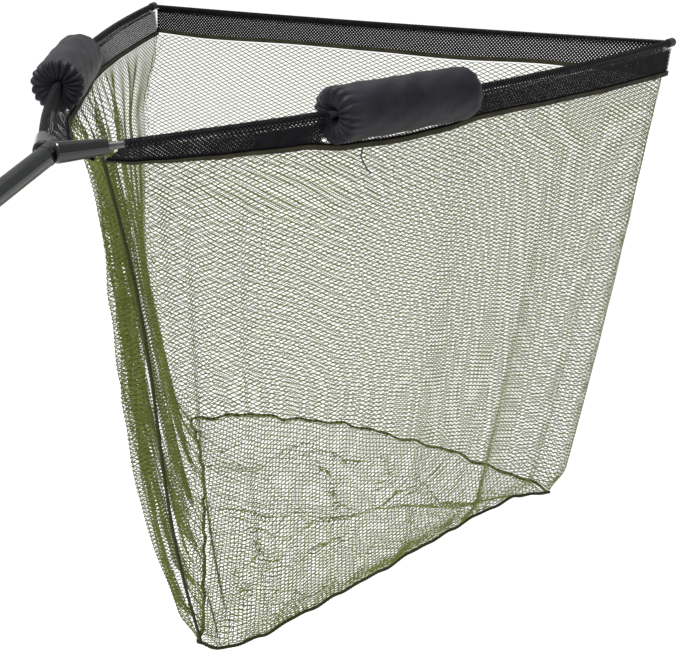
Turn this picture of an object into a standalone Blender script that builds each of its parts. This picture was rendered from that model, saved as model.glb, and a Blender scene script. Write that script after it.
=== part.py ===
"""A triangular landing net head: two bowed arms in a spreader block, a tight
front cord, black mesh bands, two arm floats and a deep bag of netting.

Metres, +Z up. The origin is the centre of the handle stub's cut end. The net
reaches forward along +X, with the near arm towards -Y and the far arm towards +Y.
"""

import math

import bmesh
import bpy
from mathutils import Matrix, Vector

# ---------------------------------------------------------------- driving sizes
NEAR = -1  # side of the arm towards -Y
FAR = 1  # side of the arm towards +Y
SIDES = {"near": NEAR, "far": FAR}
GAP = 0.0005  # clear space between pieces that touch

HANDLE_LENGTH = 0.120  # from the cut end to where the arms and the handle would meet
HANDLE_TILT = math.radians(13.0)  # the handle slopes down from the arms' level plane
HANDLE_RUN = Vector((math.cos(HANDLE_TILT), 0.0, math.sin(HANDLE_TILT)))
APEX = HANDLE_RUN * HANDLE_LENGTH
ARM_LENGTH = 1.070
ARM_ANGLE = math.radians(36.4)  # half the angle between the arms at the block
ARM_TURN = math.radians(22.5)  # how far each arm bows inwards by its tip
ARM_OFFSET = 0.011  # each arm starts this far to its side of the centre line
ARM_RADIUS = 0.0040
ARM_START = 0.022  # distance along the arm at which the rod begins, inside its socket

SOCKET_END = 0.050
SOCKET_ROOT_RADIUS = 0.0120
SOCKET_MOUTH_RADIUS = 0.0088
SOCKET_HEEL = 0.008  # how far a socket's rounded heel reaches behind its arm's start
COLLAR_RADIUS = 0.0118
COLLAR_BACK = 0.013  # from the apex back to the joint with the handle
COLLAR_FRONT = 0.008
HANDLE_RADIUS = 0.0114

CAP_RADIUS = 0.0068
CAP_LENGTH = 0.018
CAP_WALL = 0.003
CORD_RADIUS = 0.0024
CORD_SAG = 0.003

BAND_LAYER = 0.0010  # thickness of the band's mesh
BAND_HALF_SPACE = 0.0008  # from the middle of the fold to the middle of each layer
BAND_WRAP_RADIUS = ARM_RADIUS + GAP + BAND_LAYER / 2 + 0.0008
HEM_HEIGHT = 0.007
BAND_START = 0.068
BAND_END = 1.069
CAP_CLEARANCE = 0.0105  # the band passes this far below the centre of an end cap

FLOAT_LENGTH = 0.224
FLOAT_RADIUS = 0.0350
FLOAT_BORE = 0.0078
FLOAT_DROP = 0.0015  # the float's centre hangs this far below the arm's
FLOAT_DIMPLE = 0.010
FLOAT_START = {NEAR: 0.332, FAR: 0.340}

NETTING = 0.0015  # thickness of the netting as a sheet
SEAM_RADIUS = 0.0022
SEAM_CLEAR = SEAM_RADIUS + GAP + 0.0022  # netting stops this far from a seam's centre
TOP_CLEAR = 0.0045  # netting starts this far below the middle of the hem's edge
TIE_RADIUS = 0.0009

BAG_REAR = Vector((0.247, 0.0, -0.777))  # corners of the bottom panel, from the apex
BAG_FRONT = Vector((0.849, 0.357, -0.752))  # the far one; the near one is its mirror
SEAM_TOP = Vector((0.090, 0.0, -0.027))
SEAM_WAVE = 0.013  # sideways sway of the rear corner

# The band's lower edge, at distances along the arm: how far inside the arm and
# how far below it.
HEM_ROWS = (
    # along, inset, drop
    (0.068, 0.052, 0.0295),
    (0.100, 0.040, 0.0325),
    (0.150, 0.030, 0.0345),
    (0.210, 0.024, 0.0370),
    (0.300, 0.016, 0.0395),
    (0.370, 0.012, 0.0480),
    (0.450, 0.011, 0.0510),
    (0.530, 0.011, 0.0490),
    (0.590, 0.011, 0.0430),
    (0.650, 0.011, 0.0430),
    (0.760, 0.010, 0.0450),
    (0.900, 0.008, 0.0480),
    (1.069, 0.004, 0.0500),
)

# The front band's lower edge, from the near tip to the far one.
FRONT_HEM_ROWS = (
    # share, drop
    (0.00, 0.0500),
    (0.12, 0.0460),
    (0.22, 0.0430),
    (0.38, 0.0465),
    (0.52, 0.0440),
    (0.68, 0.0430),
    (0.88, 0.0465),
    (1.00, 0.0430),
)

# Each bottom edge, from its first corner to its second: how far it strays from a
# straight line, outwards and upwards.
NEAR_BOTTOM_ROWS = (
    # share, out, up
    (0.00, 0.000, 0.000),
    (0.05, -0.002, -0.024),
    (0.14, 0.000, -0.032),
    (0.27, 0.000, -0.022),
    (0.44, 0.000, -0.010),
    (0.60, 0.000, 0.006),
    (0.76, 0.000, 0.020),
    (0.87, 0.000, 0.024),
    (1.00, 0.000, 0.000),
)
FRONT_BOTTOM_ROWS = (
    # share, out, up
    (0.00, 0.000, 0.000),
    (0.12, 0.008, 0.014),
    (0.32, 0.024, 0.028),
    (0.55, 0.030, 0.034),
    (0.80, 0.020, 0.024),
    (1.00, 0.000, 0.000),
)
FAR_BOTTOM_ROWS = (
    # share, out, up
    (0.00, 0.000, 0.000),
    (0.20, -0.014, 0.006),
    (0.34, -0.020, 0.004),
    (0.60, -0.016, 0.002),
    (0.90, -0.010, -0.012),
    (1.00, 0.000, 0.000),
)

# Folds of the side mesh. A place is counted round the bag: 0 to 1 along the near
# wall, 1 to 2 along the front and 2 to 3 back along the far wall. Depths are
# outwards, at the top and at the bottom.
SIDE_FOLDS = (
    # place, half_width, top, bottom
    (0.035, 0.016, 0.007, 0.008),
    (0.080, 0.016, -0.009, -0.007),
    (0.130, 0.020, 0.008, 0.006),
    (0.200, 0.026, -0.005, 0.005),
    (0.460, 0.060, 0.004, 0.010),
    (0.780, 0.050, -0.003, -0.010),
    (0.950, 0.016, 0.004, 0.008),
    (1.220, 0.050, -0.006, -0.012),
    (1.520, 0.070, 0.006, 0.012),
    (1.800, 0.050, -0.006, -0.008),
    (1.950, 0.024, 0.005, 0.004),
    (2.140, 0.018, 0.005, 0.003),
    (2.230, 0.014, -0.006, -0.004),
    (2.320, 0.016, 0.009, 0.006),
    (2.400, 0.016, -0.012, -0.008),
    (2.480, 0.018, 0.013, 0.009),
    (2.560, 0.018, -0.014, -0.008),
    (2.640, 0.018, 0.014, 0.010),
    (2.720, 0.018, -0.013, -0.010),
    (2.790, 0.016, 0.012, 0.012),
    (2.850, 0.014, -0.010, -0.010),
    (2.905, 0.014, 0.009, 0.009),
)
# How far the side mesh bellies outwards from straight lines between its edges, near
# the rear corner on each side and elsewhere.
SIDE_BELLY = (
    # depth, rear_near, rear_far, elsewhere
    (0.00, 0.000, 0.000, 0.000),
    (0.05, -0.006, -0.020, 0.001),
    (0.10, -0.008, -0.028, 0.002),
    (0.22, -0.004, -0.016, 0.005),
    (0.34, 0.000, -0.002, 0.009),
    (0.50, 0.006, 0.016, 0.012),
    (0.65, 0.008, 0.024, 0.014),
    (0.80, 0.008, 0.025, 0.015),
    (0.93, 0.006, 0.020, 0.015),
    (1.00, 0.000, 0.000, 0.000),
)
CORNER_BELLY = (
    # depth, how far the far front corner stands out
    (0.00, 0.000),
    (0.20, 0.034),
    (0.57, 0.050),
    (0.83, 0.032),
    (1.00, 0.000),
)
CORNER_REACH = 0.30  # how far round the bag that corner's belly reaches
REAR_REACH = 0.40  # how far round the bag the rear corner's belly reaches
FOLD_ONSET = 0.10  # share of the depth over which the folds grow from the hem

# Wrinkles of the bottom panel: direction they run in (degrees from +X), spacing
# and height.
PANEL_WRINKLES = (
    # direction, spacing, height
    (25.0, 0.130, 0.0040),
    (-40.0, 0.170, 0.0050),
    (80.0, 0.210, 0.0045),
)
PANEL_SAG = 0.022

SIDE_ROWS = 11
SIDE_PLAIN_COLUMNS = 30
PANEL_RINGS = 6
PANEL_SIDES = 36

# ------------------------------------------------------------ scene and materials


def clear_scene():
    for item in list(bpy.data.objects):
        bpy.data.objects.remove(item, do_unlink=True)


def new_collection(name):
    made = bpy.data.collections.new(name)
    bpy.context.scene.collection.children.link(made)
    return made


def material(name, colour, roughness, metallic=0.0):
    made = bpy.data.materials.new(name)
    made.use_nodes = True
    shader = made.node_tree.nodes["Principled BSDF"]
    shader.inputs["Base Color"].default_value = (*colour, 1.0)
    shader.inputs["Roughness"].default_value = roughness
    shader.inputs["Metallic"].default_value = metallic
    return made


def add_object(name, data, collection, look):
    made = bpy.data.objects.new(name, data)
    data.materials.append(look)
    collection.objects.link(made)
    return made


def add_mesh(name, bm, collection, look, smooth_angle=40.0):
    mesh = bpy.data.meshes.new(name)
    bm.to_mesh(mesh)
    bm.free()
    made = add_object(name, mesh, collection, look)
    mesh.shade_smooth()
    mesh.set_sharp_from_angle(angle=math.radians(smooth_angle))
    return made


def add_tube(name, points, radius, collection, look, closed=False):
    curve = bpy.data.curves.new(name, "CURVE")
    curve.dimensions = "3D"
    curve.bevel_depth = radius
    curve.bevel_resolution = 2
    curve.use_fill_caps = True
    spline = curve.splines.new("POLY")
    spline.points.add(len(points) - 1)
    for slot, point in zip(spline.points, points):
        slot.co = (*point, 1.0)
    spline.use_cyclic_u = closed
    return add_object(name, curve, collection, look)


def solidify(item, thickness):
    modifier = item.modifiers.new("Thickness", "SOLIDIFY")
    modifier.thickness = thickness
    modifier.offset = 0.0
    modifier.use_rim = True
    return modifier


def boolean(item, other, operation):
    modifier = item.modifiers.new(operation.title(), "BOOLEAN")
    modifier.operation = operation
    modifier.object = other
    modifier.solver = "EXACT"
    return modifier


# ---------------------------------------------------------------- shape functions


def smooth_row(rows, at):
    """The other columns of a table at a value of its first column, eased between rows."""
    if at <= rows[0][0]:
        return rows[0][1:]
    for low, high in zip(rows, rows[1:]):
        if at <= high[0]:
            share = (at - low[0]) / (high[0] - low[0])
            share = share * share * (3.0 - 2.0 * share)
            return tuple(a + (b - a) * share for a, b in zip(low[1:], high[1:]))
    return rows[-1][1:]


def arm_heading(along, side):
    turned = ARM_ANGLE - ARM_TURN * along / ARM_LENGTH
    return Vector((math.cos(turned), side * math.sin(turned), 0.0))


def arm_point(along, side):
    """A point on an arm's centre line, which is an arc."""
    bow = ARM_LENGTH / ARM_TURN
    turned = ARM_ANGLE - ARM_TURN * along / ARM_LENGTH
    x = bow * (math.sin(ARM_ANGLE) - math.sin(turned))
    y = ARM_OFFSET + bow * (math.cos(turned) - math.cos(ARM_ANGLE))
    return APEX + Vector((x, side * y, 0.0))


def inward(along, side):
    """The level direction from an arm towards the middle of the net."""
    heading = arm_heading(along, side)
    return Vector((side * heading.y, -side * heading.x, 0.0))


def hem_point(along, side):
    inset, drop = smooth_row(HEM_ROWS, along)
    return arm_point(along, side) + inward(along, side) * inset - Vector((0.0, 0.0, drop))


def cord_point(share):
    """A point on the front cord, from the near tip to the far one."""
    start = arm_point(ARM_LENGTH - CAP_LENGTH / 2, NEAR)
    end = arm_point(ARM_LENGTH - CAP_LENGTH / 2, FAR)
    sag = CORD_SAG * 4.0 * share * (1.0 - share)
    return start.lerp(end, share) - Vector((0.0, 0.0, sag))


def front_hem_point(share):
    (drop,) = smooth_row(FRONT_HEM_ROWS, share)
    return cord_point(share) - Vector((0.004, 0.0, drop))


def mirrored(point):
    return Vector((point.x, -point.y, point.z))


def strayed(start, end, rows, share):
    out, up = smooth_row(rows, share)
    run = (end - start).normalized()
    outward = Vector((run.y, -run.x, 0.0))
    return start.lerp(end, share) + outward * out + Vector((0.0, 0.0, up))


def sharp_top(place):
    """The top edge of the side mesh, with corners at places 1 and 2."""
    if place <= 1.0:
        return hem_point(BAND_START + (BAND_END - BAND_START) * place, NEAR)
    if place <= 2.0:
        return front_hem_point(place - 1.0)
    return hem_point(BAND_START + (BAND_END - BAND_START) * (3.0 - place), FAR)


def sharp_bottom(place):
    rear = BAG_REAR + APEX
    far = BAG_FRONT + APEX
    near = mirrored(far)
    if place <= 1.0:
        return strayed(rear, near, NEAR_BOTTOM_ROWS, place)
    if place <= 2.0:
        return strayed(near, far, FRONT_BOTTOM_ROWS, place - 1.0)
    return strayed(far, rear, FAR_BOTTOM_ROWS, place - 2.0)


def rounded(edge, place, reach, wraps=False):
    """An edge with its corners rounded off over a reach on each side."""
    total = Vector((0.0, 0.0, 0.0))
    weights = ((-1.0, 1.0), (-0.5, 2.0), (0.0, 2.0), (0.5, 2.0), (1.0, 1.0))
    for offset, weight in weights:
        at = place + offset * reach
        at = at % 3.0 if wraps else min(max(at, 0.0), 3.0)
        total += edge(at) * weight
    return total / sum(weight for _, weight in weights)


def top_edge(place):
    reach = min(0.022, place, 3.0 - place)
    return rounded(sharp_top, place, reach)


def bottom_edge(place):
    return rounded(sharp_bottom, place, 0.030, wraps=True)


def rear_seam_point(depth):
    """The rear corner's centre line, from 0 at the hem to 1 at the bottom seam."""
    top = SEAM_TOP + APEX
    sway = SEAM_WAVE * math.sin(2.0 * math.pi * depth)
    return top.lerp(bottom_edge(0.0), depth) + Vector((sway, 0.0, 0.0))


def bag_point(place, depth):
    """The side mesh before its folds. Near the rear it joins the seam's line."""
    point = top_edge(place).lerp(bottom_edge(place), depth)
    from_seam = min(place, 3.0 - place)
    pull = math.exp(-((from_seam / 0.10) ** 2))
    seam = rear_seam_point(depth)
    plain = top_edge(0.0).lerp(bottom_edge(0.0), depth)
    shift = Vector((seam.x - plain.x, 0.0, seam.z - plain.z))
    (corner,) = smooth_row(CORNER_BELLY, depth)
    bulge = corner * math.exp(-(((place - 2.0) / CORNER_REACH) ** 2))
    return point + shift * pull + Vector((0.0, bulge, 0.0))


def folded_point(place, depth):
    point = bag_point(place, depth)
    step = 0.01
    run = bag_point(min(place + step, 3.0), depth) - bag_point(max(place - step, 0.0), depth)
    outward = Vector((run.y, -run.x, 0.0)).normalized()
    length = run.length / (min(place + step, 3.0) - max(place - step, 0.0))
    rear_near, rear_far, elsewhere = smooth_row(SIDE_BELLY, depth)
    from_seam = min(place, 3.0 - place)
    weight = math.exp(-((from_seam / REAR_REACH) ** 2))
    rear = rear_near if place < 1.5 else rear_far
    belly = (rear * weight + elsewhere * (1.0 - weight)) * min(from_seam / 0.04, 1.0)
    onset = min(depth / FOLD_ONSET, 1.0) * min((1.0 - depth) / 0.06, 1.0)
    total = 0.0
    for centre, half_width, top, bottom in SIDE_FOLDS:
        distance = (place - centre) * length / half_width
        total += (top + (bottom - top) * depth) * math.exp(-distance * distance)
    return point + outward * (total * onset + belly)


def panel_point(place, share):
    """The bottom panel, from its middle (share 0) to its edge (share 1)."""
    edge = bottom_edge(place)
    corners = [sharp_bottom(float(n)) for n in range(3)]
    middle = sum(corners, Vector()) / 3.0
    point = middle.lerp(edge, share)
    fade = 1.0 - share**3
    height = -PANEL_SAG * (1.0 - share * share)
    for direction, spacing, size in PANEL_WRINKLES:
        turn = math.radians(direction)
        across = point.x * math.cos(turn) + point.y * math.sin(turn)
        height += fade * size * math.sin(2.0 * math.pi * across / spacing)
    return point + Vector((0.0, 0.0, height))


# ------------------------------------------------------------------------ pieces


def cone_along(name, start, end, start_radius, end_radius, collection, look, rounding=0.0):
    """A capped cylinder or cone from one point to another."""
    run = end - start
    bm = bmesh.new()
    bmesh.ops.create_cone(
        bm,
        cap_ends=True,
        segments=24,
        radius1=start_radius,
        radius2=end_radius,
        depth=run.length,
    )
    if rounding:
        ring = [e for e in bm.edges if all(v.co.z < 0.0 for v in e.verts)]
        bmesh.ops.bevel(
            bm, geom=ring, offset=rounding, segments=3, profile=0.5, affect="EDGES"
        )
    turn = Vector((0.0, 0.0, 1.0)).rotation_difference(run.normalized())
    place = Matrix.Translation((start + end) / 2) @ turn.to_matrix().to_4x4()
    bmesh.ops.transform(bm, matrix=place, verts=bm.verts)
    return add_mesh(name, bm, collection, look)


def make_block(parts, cutters, look):
    block = cone_along(
        "spreader_block",
        APEX - HANDLE_RUN * COLLAR_BACK,
        APEX + HANDLE_RUN * COLLAR_FRONT,
        COLLAR_RADIUS,
        COLLAR_RADIUS,
        parts,
        look,
    )
    for word, side in SIDES.items():
        heel = arm_point(0.0, side) - arm_heading(0.0, side) * SOCKET_HEEL
        mouth = arm_point(SOCKET_END, side)
        socket = cone_along(
            f"cut_socket_{word}",
            heel,
            mouth,
            SOCKET_ROOT_RADIUS,
            SOCKET_MOUTH_RADIUS,
            cutters,
            look,
            rounding=0.0035,
        )
        boolean(block, socket, "UNION")
    for word, side in SIDES.items():
        start = arm_point(ARM_START, side) - arm_heading(ARM_START, side) * GAP
        bore = cone_along(
            f"cut_bore_{word}",
            start,
            start + arm_heading(0.03, side) * 0.06,
            ARM_RADIUS + GAP,
            ARM_RADIUS + GAP,
            cutters,
            look,
        )
        boolean(block, bore, "DIFFERENCE")
    return block


def make_handle(parts, look):
    start = Vector((0.0, 0.0, 0.0))
    end = HANDLE_RUN * (HANDLE_LENGTH - COLLAR_BACK - GAP)
    return cone_along("handle_stub", start, end, HANDLE_RADIUS, HANDLE_RADIUS, parts, look)


def make_arm(word, side, parts, look):
    steps = 30
    reach = ARM_LENGTH - CAP_WALL - GAP - ARM_START
    points = [arm_point(ARM_START + reach * n / steps, side) for n in range(steps + 1)]
    return add_tube(f"arm_{word}", points, ARM_RADIUS, parts, look)


def make_cap(word, side, parts, cutters, look):
    """An end cap with a blind hole for the arm."""
    heading = arm_heading(ARM_LENGTH, side)
    end = arm_point(ARM_LENGTH, side)
    start = end - heading * CAP_LENGTH
    cap = cone_along(f"tip_cap_{word}", end, start, CAP_RADIUS, CAP_RADIUS, parts, look, 0.002)
    bore = cone_along(
        f"cut_cap_{word}",
        start - heading * 0.01,
        end - heading * CAP_WALL,
        ARM_RADIUS + GAP,
        ARM_RADIUS + GAP,
        cutters,
        look,
    )
    boolean(cap, bore, "DIFFERENCE")
    return cap


def make_front_cord(parts, look):
    reach = (cord_point(1.0) - cord_point(0.0)).length
    inset = (CAP_RADIUS + GAP + 0.0007) / reach
    steps = 30
    shares = [inset + (1.0 - 2.0 * inset) * n / steps for n in range(steps + 1)]
    return add_tube("front_cord", [cord_point(s) for s in shares], CORD_RADIUS, parts, look)


def grid_mesh(columns, rows, place_vertex):
    """A grid whose vertex (column, row) goes where place_vertex says."""
    bm = bmesh.new()
    bmesh.ops.create_grid(bm, x_segments=columns - 1, y_segments=rows - 1, size=1.0)
    for vertex in bm.verts:
        column = round((vertex.co.x + 1.0) / 2.0 * (columns - 1))
        row = round((vertex.co.y + 1.0) / 2.0 * (rows - 1))
        vertex.co = place_vertex(column, row)
    return bm


BAND_PROFILE = (
    # a named level or degrees round the arm or cord, and the layer it lies in
    ("hem", -1),
    ("hem_top", -1),
    ("skirt_top", -1),
    (-110.0, 0),
    (-55.0, 0),
    (0.0, 0),
    (55.0, 0),
    (110.0, 0),
    ("skirt_top", 1),
    ("hem_top", 1),
    ("hem", 1),
)
KEPT_AT_FLOAT = {0, 9}  # rows of faces between the hem's edge and its top
KEPT_AT_CAP = {0, 1, 8, 9}  # rows of faces below an end cap


def band_vertex(centre, run, hem, wrap_radius, row):
    """A vertex of a strip folded over a centre line and sewn along its hem."""
    down = hem - centre
    length = down.length
    down = down / length
    across = run.cross(down).normalized()
    kind, layer = BAND_PROFILE[row]
    if kind == "hem":
        return hem + across * (BAND_HALF_SPACE * layer)
    if kind == "hem_top":
        return hem - down * HEM_HEIGHT + across * (BAND_HALF_SPACE * layer)
    if kind == "skirt_top":
        return centre + down * CAP_CLEARANCE + across * (BAND_HALF_SPACE * layer)
    turn = math.radians(kind)
    return centre + (across * math.sin(turn) - down * math.cos(turn)) * wrap_radius


def make_band(name, stations, strip, is_kept, wrap_radius, parts, look):
    """strip(station) gives a centre, a direction and a hem point."""

    def place_vertex(column, row):
        centre, run, hem = strip(stations[column])
        return band_vertex(centre, run, hem, wrap_radius, row)

    columns = len(stations)
    bm = bmesh.new()
    bmesh.ops.create_grid(bm, x_segments=columns - 1, y_segments=len(BAND_PROFILE) - 1, size=1.0)
    gone = []
    for face in bm.faces:
        middle = face.calc_center_median()
        column = math.floor((middle.x + 1.0) / 2.0 * (columns - 1))
        row = math.floor((middle.y + 1.0) / 2.0 * (len(BAND_PROFILE) - 1))
        at = (stations[column] + stations[column + 1]) / 2.0
        if not is_kept(at, row):
            gone.append(face)
    for vertex in bm.verts:
        column = round((vertex.co.x + 1.0) / 2.0 * (columns - 1))
        row = round((vertex.co.y + 1.0) / 2.0 * (len(BAND_PROFILE) - 1))
        vertex.co = place_vertex(column, row)
    bmesh.ops.delete(bm, geom=gone, context="FACES")
    band = add_mesh(name, bm, parts, look)
    solidify(band, BAND_LAYER)
    return band


def spread(start, end, pieces):
    return [start + (end - start) * n / pieces for n in range(pieces)]


def make_arm_band(word, side, parts, look):
    float_start = FLOAT_START[side] - 0.002
    float_end = FLOAT_START[side] + FLOAT_LENGTH + 0.002
    cap_start = ARM_LENGTH - CAP_LENGTH - 0.001
    stations = [
        *spread(BAND_START, float_start, 7),
        *spread(float_start, float_end, 4),
        *spread(float_end, cap_start, 7),
        cap_start,
        BAND_END,
    ]

    def strip(along):
        return arm_point(along, side), arm_heading(along, side), hem_point(along, side)

    def is_kept(along, row):
        if float_start < along < float_end:
            return row in KEPT_AT_FLOAT
        if along > cap_start:
            return row in KEPT_AT_CAP
        return True

    return make_band(f"band_{word}", stations, strip, is_kept, BAND_WRAP_RADIUS, parts, look)


def make_front_band(parts, look):
    reach = (cord_point(1.0) - cord_point(0.0)).length
    end = (CAP_RADIUS + 0.0025) / reach
    stations = [*spread(end, 1.0 - end, 16), 1.0 - end]
    wrap_radius = CORD_RADIUS + GAP + BAND_LAYER / 2 + 0.0003

    def strip(share):
        return cord_point(share), Vector((0.0, 1.0, 0.0)), front_hem_point(share)

    return make_band("band_front", stations, strip, lambda at, row: True, wrap_radius, parts, look)


def make_float(word, side, parts, look):
    """A padded tube round the arm: a turned profile with drawn-in ends."""
    start = arm_point(FLOAT_START[side], side)
    end = arm_point(FLOAT_START[side] + FLOAT_LENGTH, side)
    middle = arm_point(FLOAT_START[side] + FLOAT_LENGTH / 2, side)
    run = end - start
    centre = ((start + end) / 2 + middle) / 2 - Vector((0.0, 0.0, FLOAT_DROP))
    half = FLOAT_LENGTH / 2
    edge = 0.012
    outline = (
        # radius, along
        (FLOAT_BORE, half - FLOAT_DIMPLE),
        (FLOAT_BORE + 0.006, half - FLOAT_DIMPLE * 0.6),
        (FLOAT_RADIUS - edge, half),
        (FLOAT_RADIUS - edge * 0.3, half - edge * 0.3),
        (FLOAT_RADIUS, half - edge),
    )
    profile = [*outline, *((radius, -along) for radius, along in reversed(outline))]
    bm = bmesh.new()
    corners = [bm.verts.new((radius, 0.0, along)) for radius, along in profile]
    for first, second in zip(corners, [*corners[1:], corners[0]]):
        bm.edges.new((first, second))
    item = add_mesh(f"float_{word}", bm, parts, look)
    screw = item.modifiers.new("Turned", "SCREW")
    screw.steps = 24
    screw.render_steps = 24
    screw.use_merge_vertices = True
    screw.merge_threshold = 0.0001
    turn = Vector((0.0, 0.0, 1.0)).rotation_difference(run.normalized())
    item.rotation_mode = "QUATERNION"
    item.rotation_quaternion = turn
    item.location = centre
    return item


def make_tie(parts, look):
    """The free end of the cord that closes the near float's cover."""
    along = FLOAT_START[NEAR] + 0.041
    heading = arm_heading(along, NEAR)
    out = -inward(along, NEAR)
    route = (
        # along, out, down
        (0.000, 0.012, 0.0405),
        (-0.001, 0.012, 0.0470),
        (-0.002, 0.011, 0.0530),
        (0.002, 0.010, 0.0600),
        (0.006, 0.009, 0.0660),
        (0.010, 0.009, 0.0720),
        (0.015, 0.009, 0.0780),
    )
    start = arm_point(along, NEAR)
    points = []
    for forward, outwards, down in route:
        points.append(start + heading * forward + out * outwards - Vector((0.0, 0.0, down)))
    return add_tube("float_tie_near", points, TIE_RADIUS, parts, look)


def side_places():
    """Columns of the side mesh: evenly spread, with more of them across each fold."""
    places = {n / SIDE_PLAIN_COLUMNS * 3.0 for n in range(SIDE_PLAIN_COLUMNS + 1)}
    for centre, half_width, _, _ in SIDE_FOLDS:
        for share in (-1.1, 0.0, 1.1):
            places.add(centre + share * half_width)
    least = 0.012
    kept = [0.0]
    for place in sorted(places):
        if place - kept[-1] > least and place < 3.0 - least:
            kept.append(place)
    kept.append(3.0)
    return kept


def make_side_mesh(parts, look):
    places = side_places()
    length = 0.74  # about the bag's depth
    top_clear = TOP_CLEAR / length

    def place_vertex(column, row):
        place = places[column]
        depth = row / (SIDE_ROWS - 1)
        depth = top_clear + (1.0 - top_clear - SEAM_CLEAR / length) * depth
        point = folded_point(place, depth)
        if column in (0, len(places) - 1):
            neighbour = places[1] if column == 0 else places[-2]
            run = (folded_point(neighbour, depth) - point).normalized()
            point = point + run * SEAM_CLEAR
        return point

    bm = grid_mesh(len(places), SIDE_ROWS, place_vertex)
    item = add_mesh("side_mesh", bm, parts, look, 60.0)
    solidify(item, NETTING)
    return item


def make_bottom_panel(parts, look):
    clear = 1.0 - SEAM_CLEAR * 1.6 / 0.25

    def place_vertex(column, row):
        place = 3.0 * (column % PANEL_SIDES) / PANEL_SIDES
        share = clear * row / PANEL_RINGS
        return panel_point(place, share)

    bm = grid_mesh(PANEL_SIDES + 1, PANEL_RINGS + 1, place_vertex)
    bmesh.ops.remove_doubles(bm, verts=bm.verts, dist=0.00001)
    item = add_mesh("bottom_panel", bm, parts, look, 60.0)
    solidify(item, NETTING)
    return item


def make_seams(parts, look):
    steps = 26
    bottom_clear = (SEAM_RADIUS * 2.0 + GAP) / 0.75
    shares = [(1.0 - bottom_clear) * n / steps for n in range(steps + 1)]
    add_tube("rear_seam", [rear_seam_point(s) for s in shares], SEAM_RADIUS, parts, look)
    around = [bottom_edge(3.0 * n / 48) for n in range(48)]
    add_tube("bottom_seam", around, SEAM_RADIUS, parts, look, closed=True)


def main():
    clear_scene()
    parts = new_collection("landing_net")
    cutters = new_collection("cutters")
    black_plastic = material("gloss_black_plastic", (0.012, 0.012, 0.014), 0.2)
    rod = material("grey_rod", (0.12, 0.12, 0.125), 0.3, 0.6)
    band_cloth = material("black_mesh_band", (0.012, 0.012, 0.015), 0.85)
    float_cloth = material("charcoal_nylon", (0.030, 0.029, 0.036), 0.5)
    netting = material("olive_netting", (0.17, 0.21, 0.07), 0.7)
    binding = material("dark_olive_binding", (0.02, 0.022, 0.010), 0.8)
    make_block(parts, cutters, black_plastic)
    make_handle(parts, black_plastic)
    for word, side in SIDES.items():
        make_arm(word, side, parts, rod)
        make_cap(word, side, parts, cutters, black_plastic)
        make_arm_band(word, side, parts, band_cloth)
        make_float(word, side, parts, float_cloth)
    make_front_cord(parts, binding)
    make_front_band(parts, band_cloth)
    make_tie(parts, binding)
    make_side_mesh(parts, netting)
    make_bottom_panel(parts, netting)
    make_seams(parts, binding)
    cutters.hide_render = True
    for item in cutters.objects:
        item.hide_render = True
        item.display_type = "WIRE"


main()
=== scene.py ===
# %% [markdown]
# # A triangular landing net, dressed for its picture
# The frame holds the plain model: two arms, a block, floats and thin sheets where
# the netting hangs. This lesson gives each of them what a plain model leaves out,
# such as real strands of netting, open mesh on the bands, tapes, seams and
# padded floats. Each step explains the real thing first, then the way it is made.

# %% Load the frame
import math

import bmesh
import bpy
import numpy as np
from mathutils import Matrix, Vector


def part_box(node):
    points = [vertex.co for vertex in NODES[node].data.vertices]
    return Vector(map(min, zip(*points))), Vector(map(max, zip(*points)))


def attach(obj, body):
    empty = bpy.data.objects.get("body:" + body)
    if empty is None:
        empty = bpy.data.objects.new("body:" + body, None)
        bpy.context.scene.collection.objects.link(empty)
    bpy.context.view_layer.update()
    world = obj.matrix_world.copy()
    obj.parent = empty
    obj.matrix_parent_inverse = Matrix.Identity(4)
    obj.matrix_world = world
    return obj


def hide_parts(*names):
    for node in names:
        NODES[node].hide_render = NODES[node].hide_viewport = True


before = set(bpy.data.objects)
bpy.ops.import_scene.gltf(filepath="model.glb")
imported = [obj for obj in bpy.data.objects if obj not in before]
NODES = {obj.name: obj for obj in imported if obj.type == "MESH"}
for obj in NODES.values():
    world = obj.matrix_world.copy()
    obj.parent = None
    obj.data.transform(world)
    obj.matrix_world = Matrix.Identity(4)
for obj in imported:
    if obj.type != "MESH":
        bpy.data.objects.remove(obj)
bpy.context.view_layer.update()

# %% [markdown]
# ## Where everything starts
# The pole slopes a little, and the two arms lie level. Their lines meet just in
# front of the block, at a point that is called the apex here. Nearly every size
# below is easiest to think of from that point.

# %% The apex
NEAR, FAR = -1, 1
HANDLE_LENGTH = 0.120
HANDLE_TILT = math.radians(13.0)
APEX = np.array([math.cos(HANDLE_TILT), 0.0, math.sin(HANDLE_TILT)]) * HANDLE_LENGTH
arm_low, arm_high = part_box("arm_near")
print("arms lie at", round((arm_low.z + arm_high.z) / 2, 4), "and the apex at", round(APEX[2], 4))

# %% [markdown]
# ## The camera
# It looks down on the net from beside the pole. The lens is a gentle telephoto,
# so the near arm isn't much larger than the far one.

# %% Place the camera
VIEW_AZIMUTH = math.radians(-66.25)
VIEW_ELEVATION = math.radians(21.86)
VIEW_DISTANCE = 1.9302
VIEW_ROLL = math.radians(0.2)
LENS = 68.82
SENSOR_WIDTH = 36.0
LOOK_AT = (0.546, -0.0885, -0.3839)  # from the apex


def new_object(name, data):
    made = bpy.data.objects.new(name, data)
    bpy.context.scene.collection.objects.link(made)
    return made


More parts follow.
